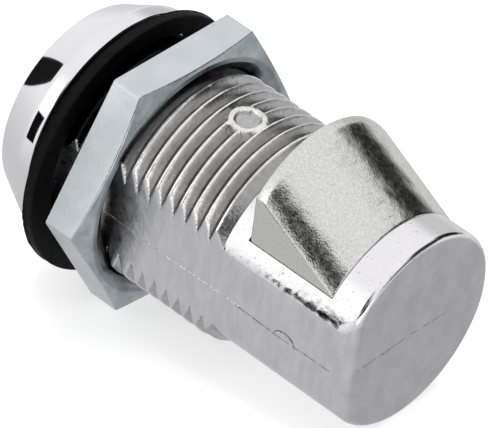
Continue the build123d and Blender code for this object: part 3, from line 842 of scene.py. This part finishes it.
def soften_rim(obj, beyond, width):
    """Rounds the sharp edges of an object that lie farther than a given radius from the barrel's axis."""
    mesh = bmesh.new()
    mesh.from_mesh(obj.data)
    weight = mesh.edges.layers.float.new("bevel_weight_edge")
    for edge in mesh.edges:
        outside = all(sqrt(v.co.x ** 2 + v.co.z ** 2) > beyond * MM for v in edge.verts)
        if outside and edge.is_manifold and edge.calc_face_angle(0) > radians(30):
            edge[weight] = 1
    mesh.to_mesh(obj.data)
    mesh.free()
    bevel = obj.modifiers.new("soften", "BEVEL")
    bevel.limit_method = "WEIGHT"
    bevel.width = width * MM
    bevel.segments = 3
    bevel.use_clamp_overlap = False
    settle(obj, crease=12)


def nut_chamfer():
    """Ring that takes the corners off the nut's rear face."""
    rear, inset, outer, columns = NUT_HIGH.y, 0.5, 16, 240
    inner = NUT_CHAMFER_R - inset
    slope = NUT_CHAMFER_DEEP / (NUT_HIGH.z / cos(pi / 6) - NUT_CHAMFER_R)
    edge = [(inner, rear + inset * slope), (outer, rear - slope * (outer - NUT_CHAMFER_R)),
            (outer, rear + 1), (inner, rear + 1)]
    angles = np.arange(columns) * TURN / columns
    loops = [np.stack([r * np.cos(angles), np.full(columns, y), r * np.sin(angles)], 1) for r, y in edge]
    skin = Skin()
    skin.rows(loops, closed=True)
    return piece("nut_chamfer", np.vstack(skin.points), skin.faces, ["zinc_face"])


def hex_nut():
    """Zinc-plated hexagon nut: corners chamfered behind, threaded hole countersunk at both ends."""
    front, rear = NUT_LOW.y, NUT_HIGH.y
    nut = prism("lock_nut", hex_outline(), front, rear, "zinc")
    cut(nut, nut_chamfer(), nut_bore(front, rear))
    mesh = nut.data
    face_slot = [m.name for m in mesh.materials].index("zinc_face")
    for polygon in mesh.polygons:
        if abs(polygon.normal.y) > 0.99:
            polygon.material_index = face_slot
    soften_rim(nut, NUT_CHAMFER_R + 0.2, NUT_EDGE_ROUND)
    return on_body(nut, "housing", "nut_zinc", "hex_nut")


# ---- Gasket ------------------------------------------------------------------------

def flash_reach(angles):
    """How far the torn moulding flash stands out at each angle: a ragged patch on the near side."""
    middle, half_width, deepest = radians(22), radians(52), 0.5
    torn = np.array([noise.noise(Vector((cos(a) * 22, sin(a) * 22, 2.2))) for a in angles])
    patch = np.array([noise.noise(Vector((cos(a) * 1.6, sin(a) * 1.6, 8.1))) for a in angles])
    window = np.clip((cos(half_width) - np.cos(angles - middle)) * -6, 0, 1)
    return window * np.clip(0.5 + patch * 2.2, 0.1, 1) * (0.1 + deepest * np.clip(torn, 0, 1))


def gasket():
    """Moulded rubber ring with a torn line of flash round its edge."""
    columns, hole, edge, rim_fade = 480, 11.12, 1.0, 0.6
    angles = np.arange(columns) * TURN / columns
    outer = (GASKET_HIGH.x - GASKET_LOW.x) / 2
    drop = (GASKET_HIGH.z + GASKET_LOW.z) / 2
    front, rear = GASKET_LOW.y, GASKET_HIGH.y
    round_face = rounded([(hole, front), (RIM_R, front + 0.02), (outer - 0.12, rear - edge - 0.04)], 0.2, 3)
    fin = [(outer + 0.02, rear - edge - 0.06), (outer - 0.04, rear - edge + 0.05)]
    back_face = rounded([(outer - 0.03, rear - edge + 0.15), (outer - 0.03, rear), (hole, rear)], 0.18, 3)
    flash = flash_reach(angles)
    rows = []
    for r, y in round_face + fin + back_face:
        radius = r + flash if (r, y) == fin[0] else np.full(columns, r)
        sag = drop * min(max((r - hole) / rim_fade, 0), 1)
        xs, zs = radius * np.cos(angles), radius * np.sin(angles) + sag
        rows.append(np.stack([xs, np.full(columns, y), zs], 1))
    skin = Skin()
    skin.rows(rows, closed=True)
    points = np.vstack(skin.points)
    points[:, 1] += grain(points, 3.0, 0.03, 7)
    ring_piece = piece("rubber_gasket", points, skin.faces, ["rubber"], crease=40)
    return on_body(ring_piece, "housing", "gasket_rubber", "gasket")


# ---- Latch bolt --------------------------------------------------------------------

def bolt_drop(y):
    """How far the ramp has come down at a place along the bolt, soft where the land ends."""
    ramp_start, ramp_end, soft = BOLT_LOW.y + 1.0, BOLT_HIGH.y + SLIDE_GAP, 0.3
    run = y - ramp_start
    return TRAVEL / (ramp_end - ramp_start) * (run + sqrt(run * run + soft * soft)) / 2


def bolt_section(y, inset):
    """Section of the bolt: the barrel's arc on top, upright sides, an arc below."""
    half, top_r, low_r = BOLT_HALF - inset, REAR_R - inset, TRAVEL - BOLT_LOW.z - inset
    centre_z = TRAVEL - bolt_drop(y)
    soft = 0.42
    turn = acos((half - soft) / (top_r - soft))
    hub = (half - soft, centre_z + (top_r - soft) * sin(turn))
    right = [(hub[0] + soft * cos(a), hub[1] + soft * sin(a)) for a in np.linspace(0, turn, 9)]
    top = [(top_r * cos(a), centre_z + top_r * sin(a)) for a in np.linspace(turn, pi - turn, 90)[1:-1]]
    left = [(-x, z) for x, z in reversed(right)]
    low_turn = acos(half / low_r)
    low_angles = np.linspace(pi + low_turn, TURN - low_turn, 32)
    under = [(low_r * cos(a), TRAVEL + low_r * sin(a)) for a in low_angles]
    down = [(-half, z) for z in np.linspace(left[-1][1], under[0][1], 22)[1:-1]]
    up = [(half, z) for z in np.linspace(under[-1][1], right[0][1], 22)[1:-1]]
    return [(x, y, z) for x, z in right + top + left + down + under + up]


def pin_slot():
    """Solid that stands for the bolt's stepped slot for the drive pin, open at its front."""
    left, neck, right = 1.15, 3.95, 5.0
    low, step, high = 1.14, 3.96, 9.06
    rear = 25.4
    outline = [(left, low), (right, low), (right, step), (neck, step), (neck, high), (left, high)]
    return prism("slot", outline, BOLT_LOW.y - 1, rear, "bolt")


def bolt():
    """Sloped bolt with a short land at its front, edges softened by tumbling."""
    front, rear, front_round, rear_round = BOLT_LOW.y, BOLT_HIGH.y, 0.3, 0.12
    sections = []
    for a in np.radians(np.linspace(90, 0, 7)):
        sections.append(bolt_section(front + front_round * (1 - sin(a)), front_round * (1 - cos(a))))
    sections += [bolt_section(y, 0.0) for y in np.linspace(front + front_round, rear - rear_round, 72)[1:-1]]
    for a in np.radians(np.linspace(0, 90, 5)):
        sections.append(bolt_section(rear - rear_round * (1 - sin(a)), rear_round * (1 - cos(a))))
    skin = Skin()
    first, last = skin.rows(sections)
    points = np.vstack(skin.points)
    lumps = grain(points, 1.4, 0.025, 11) + grain(points, 0.5, 0.012, 12)
    points[:, 2] += np.where(points[:, 2] > 0, lumps - 0.02, 0)
    faces = skin.faces + [tuple(first)[::-1], tuple(last)]
    body = piece("latch_bolt", points, [f[::-1] for f in faces], ["bolt"])
    cut(body, pin_slot(), post("spring_pocket", SPRING_R, -12, SPRING_TOP, SPRING_Y, "bolt"))
    return on_body(body, "bolt", "bolt_cast", "bolt")


# ---- Pieces kept from the frame ----------------------------------------------------

NODE_MATERIALS = {
    "plug_face_cap": "stainless", "dust_shutter": "stainless", "plug": "plug_casting",
    "bolt_spring": "spring_wire", "wafer_springs": "spring_wire", "retainer_spring": "spring_wire",
    "shutter_spring": "spring_wire", "retaining_wafer": "brass", "drive_pin": "ground_steel",
    "shutter_pin": "ground_steel",
}
NODE_MATERIALS.update({f"wafer_{i}": "brass" for i in range(1, 8)})


def dress_nodes():
    """Gives each shown CAD node its finish."""
    for node, material in NODE_MATERIALS.items():
        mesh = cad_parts[node].data
        mesh.materials.clear()
        mesh.materials.append(MATERIALS[material])


# ---- Studio ------------------------------------------------------------------------

SQUARE = ((-1, -1), (1, -1), (1, 1), (-1, 1))


def add_floor():
    """White table that the lock lies on, touching the gasket's edge and the barrel's rear end."""
    reach, gap = 900, 0.05
    across = Vector((1, 0, 0))
    touch_front = Vector((0, GASKET_LOW.y + 1.1, GASKET_LOW.z))
    touch_rear = Vector((0, REAR_END - 0.3, -REAR_R + 0.15))
    along = (touch_rear - touch_front).normalized()
    middle = (touch_front + touch_rear) / 2 - across.cross(along) * gap
    places = [middle + across * reach * sx + along * reach * sy for sx, sy in SQUARE]
    floor_piece = piece("table_top", places, [(0, 1, 2, 3)], ["floor"])
    floor_piece.visible_glossy = False


# Softboxes and dark flags of the studio, as ellipsoids on the unit sphere of directions:
# centre, half-extents, how much of the extent is soft edge, brightness.
STUDIO = (
    ((0.75, -0.45, 0.45), (0.50, 0.50, 0.45), 0.5, 1.12),
    ((0.93, -0.33, 0.17), (0.14, 0.10, 0.10), 0.9, 0.80),
    ((0.84, -0.20, 0.50), (0.20, 0.22, 0.20), 0.7, 2.60),
    ((-0.60, 0.43, -0.67), (0.60, 0.60, 0.60), 0.9, 0.46),
    ((-0.88, -0.40, 0.10), (0.40, 0.35, 0.50), 0.6, 0.60),
    ((0.27, 0.94, -0.12), (0.30, 0.30, 0.30), 0.5, 3.00),
    ((-0.40, 0.88, 0.14), (0.50, 0.40, 0.34), 0.5, 0.12),
    ((-0.90, 0.16, 0.28), (0.45, 0.42, 0.46), 0.45, 0.015),
    ((-0.62, 0.62, 0.45), (0.40, 0.36, 0.42), 0.25, 0.03),
    ((0.60, 0.68, 0.30), (0.36, 0.38, 0.31), 0.3, 0.02),
    ((0.68, 0.30, 0.66), (0.22, 0.30, 0.21), 0.15, 0.01),
    ((0.00, -1.00, 0.00), (0.115, 0.20, 0.20), 0.08, 0.01),
)

# Brightness of the tent from straight down (0) to straight up (1).
TENT = ((0.0, 0.60), (0.22, 0.61), (0.40, 0.76), (0.50, 0.92), (0.62, 0.88), (0.85, 0.92), (1.0, 0.95))


def add_world():
    """Bright tent all round, dimmer below, with a few softboxes and flags for the metal to show."""
    world = bpy.data.worlds.new("studio")
    world.use_nodes = True
    nodes, links = world.node_tree.nodes, world.node_tree.links
    direction = nodes.new("ShaderNodeTexCoord").outputs["Generated"]
    split = nodes.new("ShaderNodeSeparateXYZ")
    links.new(direction, split.inputs[0])
    ramp = nodes.new("ShaderNodeValToRGB")
    lift = nodes.new("ShaderNodeMapRange")
    lift.inputs["From Min"].default_value = -1.0
    links.new(split.outputs["Z"], lift.inputs["Value"])
    links.new(lift.outputs[0], ramp.inputs["Fac"])
    fill_ramp(ramp, [(position, (level, level * 0.995, level * 1.01)) for position, level in TENT])
    glow = ramp.outputs["Color"]
    for centre, extent, soft, level in STUDIO:
        away = nodes.new("ShaderNodeVectorMath")
        away.operation = "SUBTRACT"
        away.inputs[1].default_value = centre
        links.new(direction, away.inputs[0])
        scaled = nodes.new("ShaderNodeVectorMath")
        scaled.operation = "DIVIDE"
        scaled.inputs[1].default_value = extent
        links.new(away.outputs[0], scaled.inputs[0])
        length = nodes.new("ShaderNodeVectorMath")
        length.operation = "LENGTH"
        links.new(scaled.outputs[0], length.inputs[0])
        edge = nodes.new("ShaderNodeMapRange")
        edge.interpolation_type = "SMOOTHSTEP"
        edge.inputs["From Min"].default_value = 1.0
        edge.inputs["From Max"].default_value = 1.0 - soft
        links.new(length.outputs["Value"], edge.inputs["Value"])
        mix = nodes.new("ShaderNodeMix")
        mix.data_type = "RGBA"
        mix.inputs["B"].default_value = (level, level, level, 1)
        links.new(edge.outputs[0], mix.inputs["Factor"])
        links.new(glow, mix.inputs["A"])
        glow = mix.outputs["Result"]
    links.new(glow, nodes["Background"].inputs["Color"])
    bpy.context.scene.world = world


def add_card(name, centre, facing, half_width, half_height):
    """Black card beside the lock, seen only in the metal."""
    centre, facing = Vector(centre), Vector(facing).normalized()
    side = facing.cross(Vector((0, 0, 1))).normalized() * half_width
    up = side.cross(facing).normalized() * half_height
    places = [centre + side * sx + up * sy for sx, sy in SQUARE]
    card = piece(name, places, [(0, 1, 2, 3)], ["card"])
    card.visible_camera = card.visible_diffuse = card.visible_shadow = False


# Name, centre, the way it faces, half-width and half-height.
CARDS = (
    ("card_by_head", (53.5, -28.6, 9.0), (-0.853, 0.512, -0.07), 5.0, 11.5),
    ("card_by_end", (44.5, 13.4, 3.4), (-0.889, 0.452, 0.05), 5.2, 7.2),
    ("card_by_corner", (44.0, 15.2, 5.4), (-0.889, 0.452, 0.05), 3.0, 9.4),
)


def add_lamp():
    """Broad soft lamp overhead that lights the table and rubber but isn't mirrored in the metal."""
    data = bpy.data.lights.new("overhead", "AREA")
    data.shape = "DISK"
    data.size = 0.9
    data.energy = 9.0
    lamp = bpy.data.objects.new("overhead", data)
    place = Vector((-0.25, -0.2, 0.9))
    lamp.matrix_world = Matrix.Translation(place) @ place.to_track_quat("Z", "Y").to_matrix().to_4x4()
    lamp.visible_glossy = False
    bpy.context.scene.collection.objects.link(lamp)


# ---- The scene ---------------------------------------------------------------------

add_camera()
dress_nodes()
housing()
hex_nut()
gasket()
bolt()
seams()
add_floor()
add_world()
for card in CARDS:
    add_card(*card)
add_lamp()
bpy.context.scene.view_settings.view_transform = "Standard"
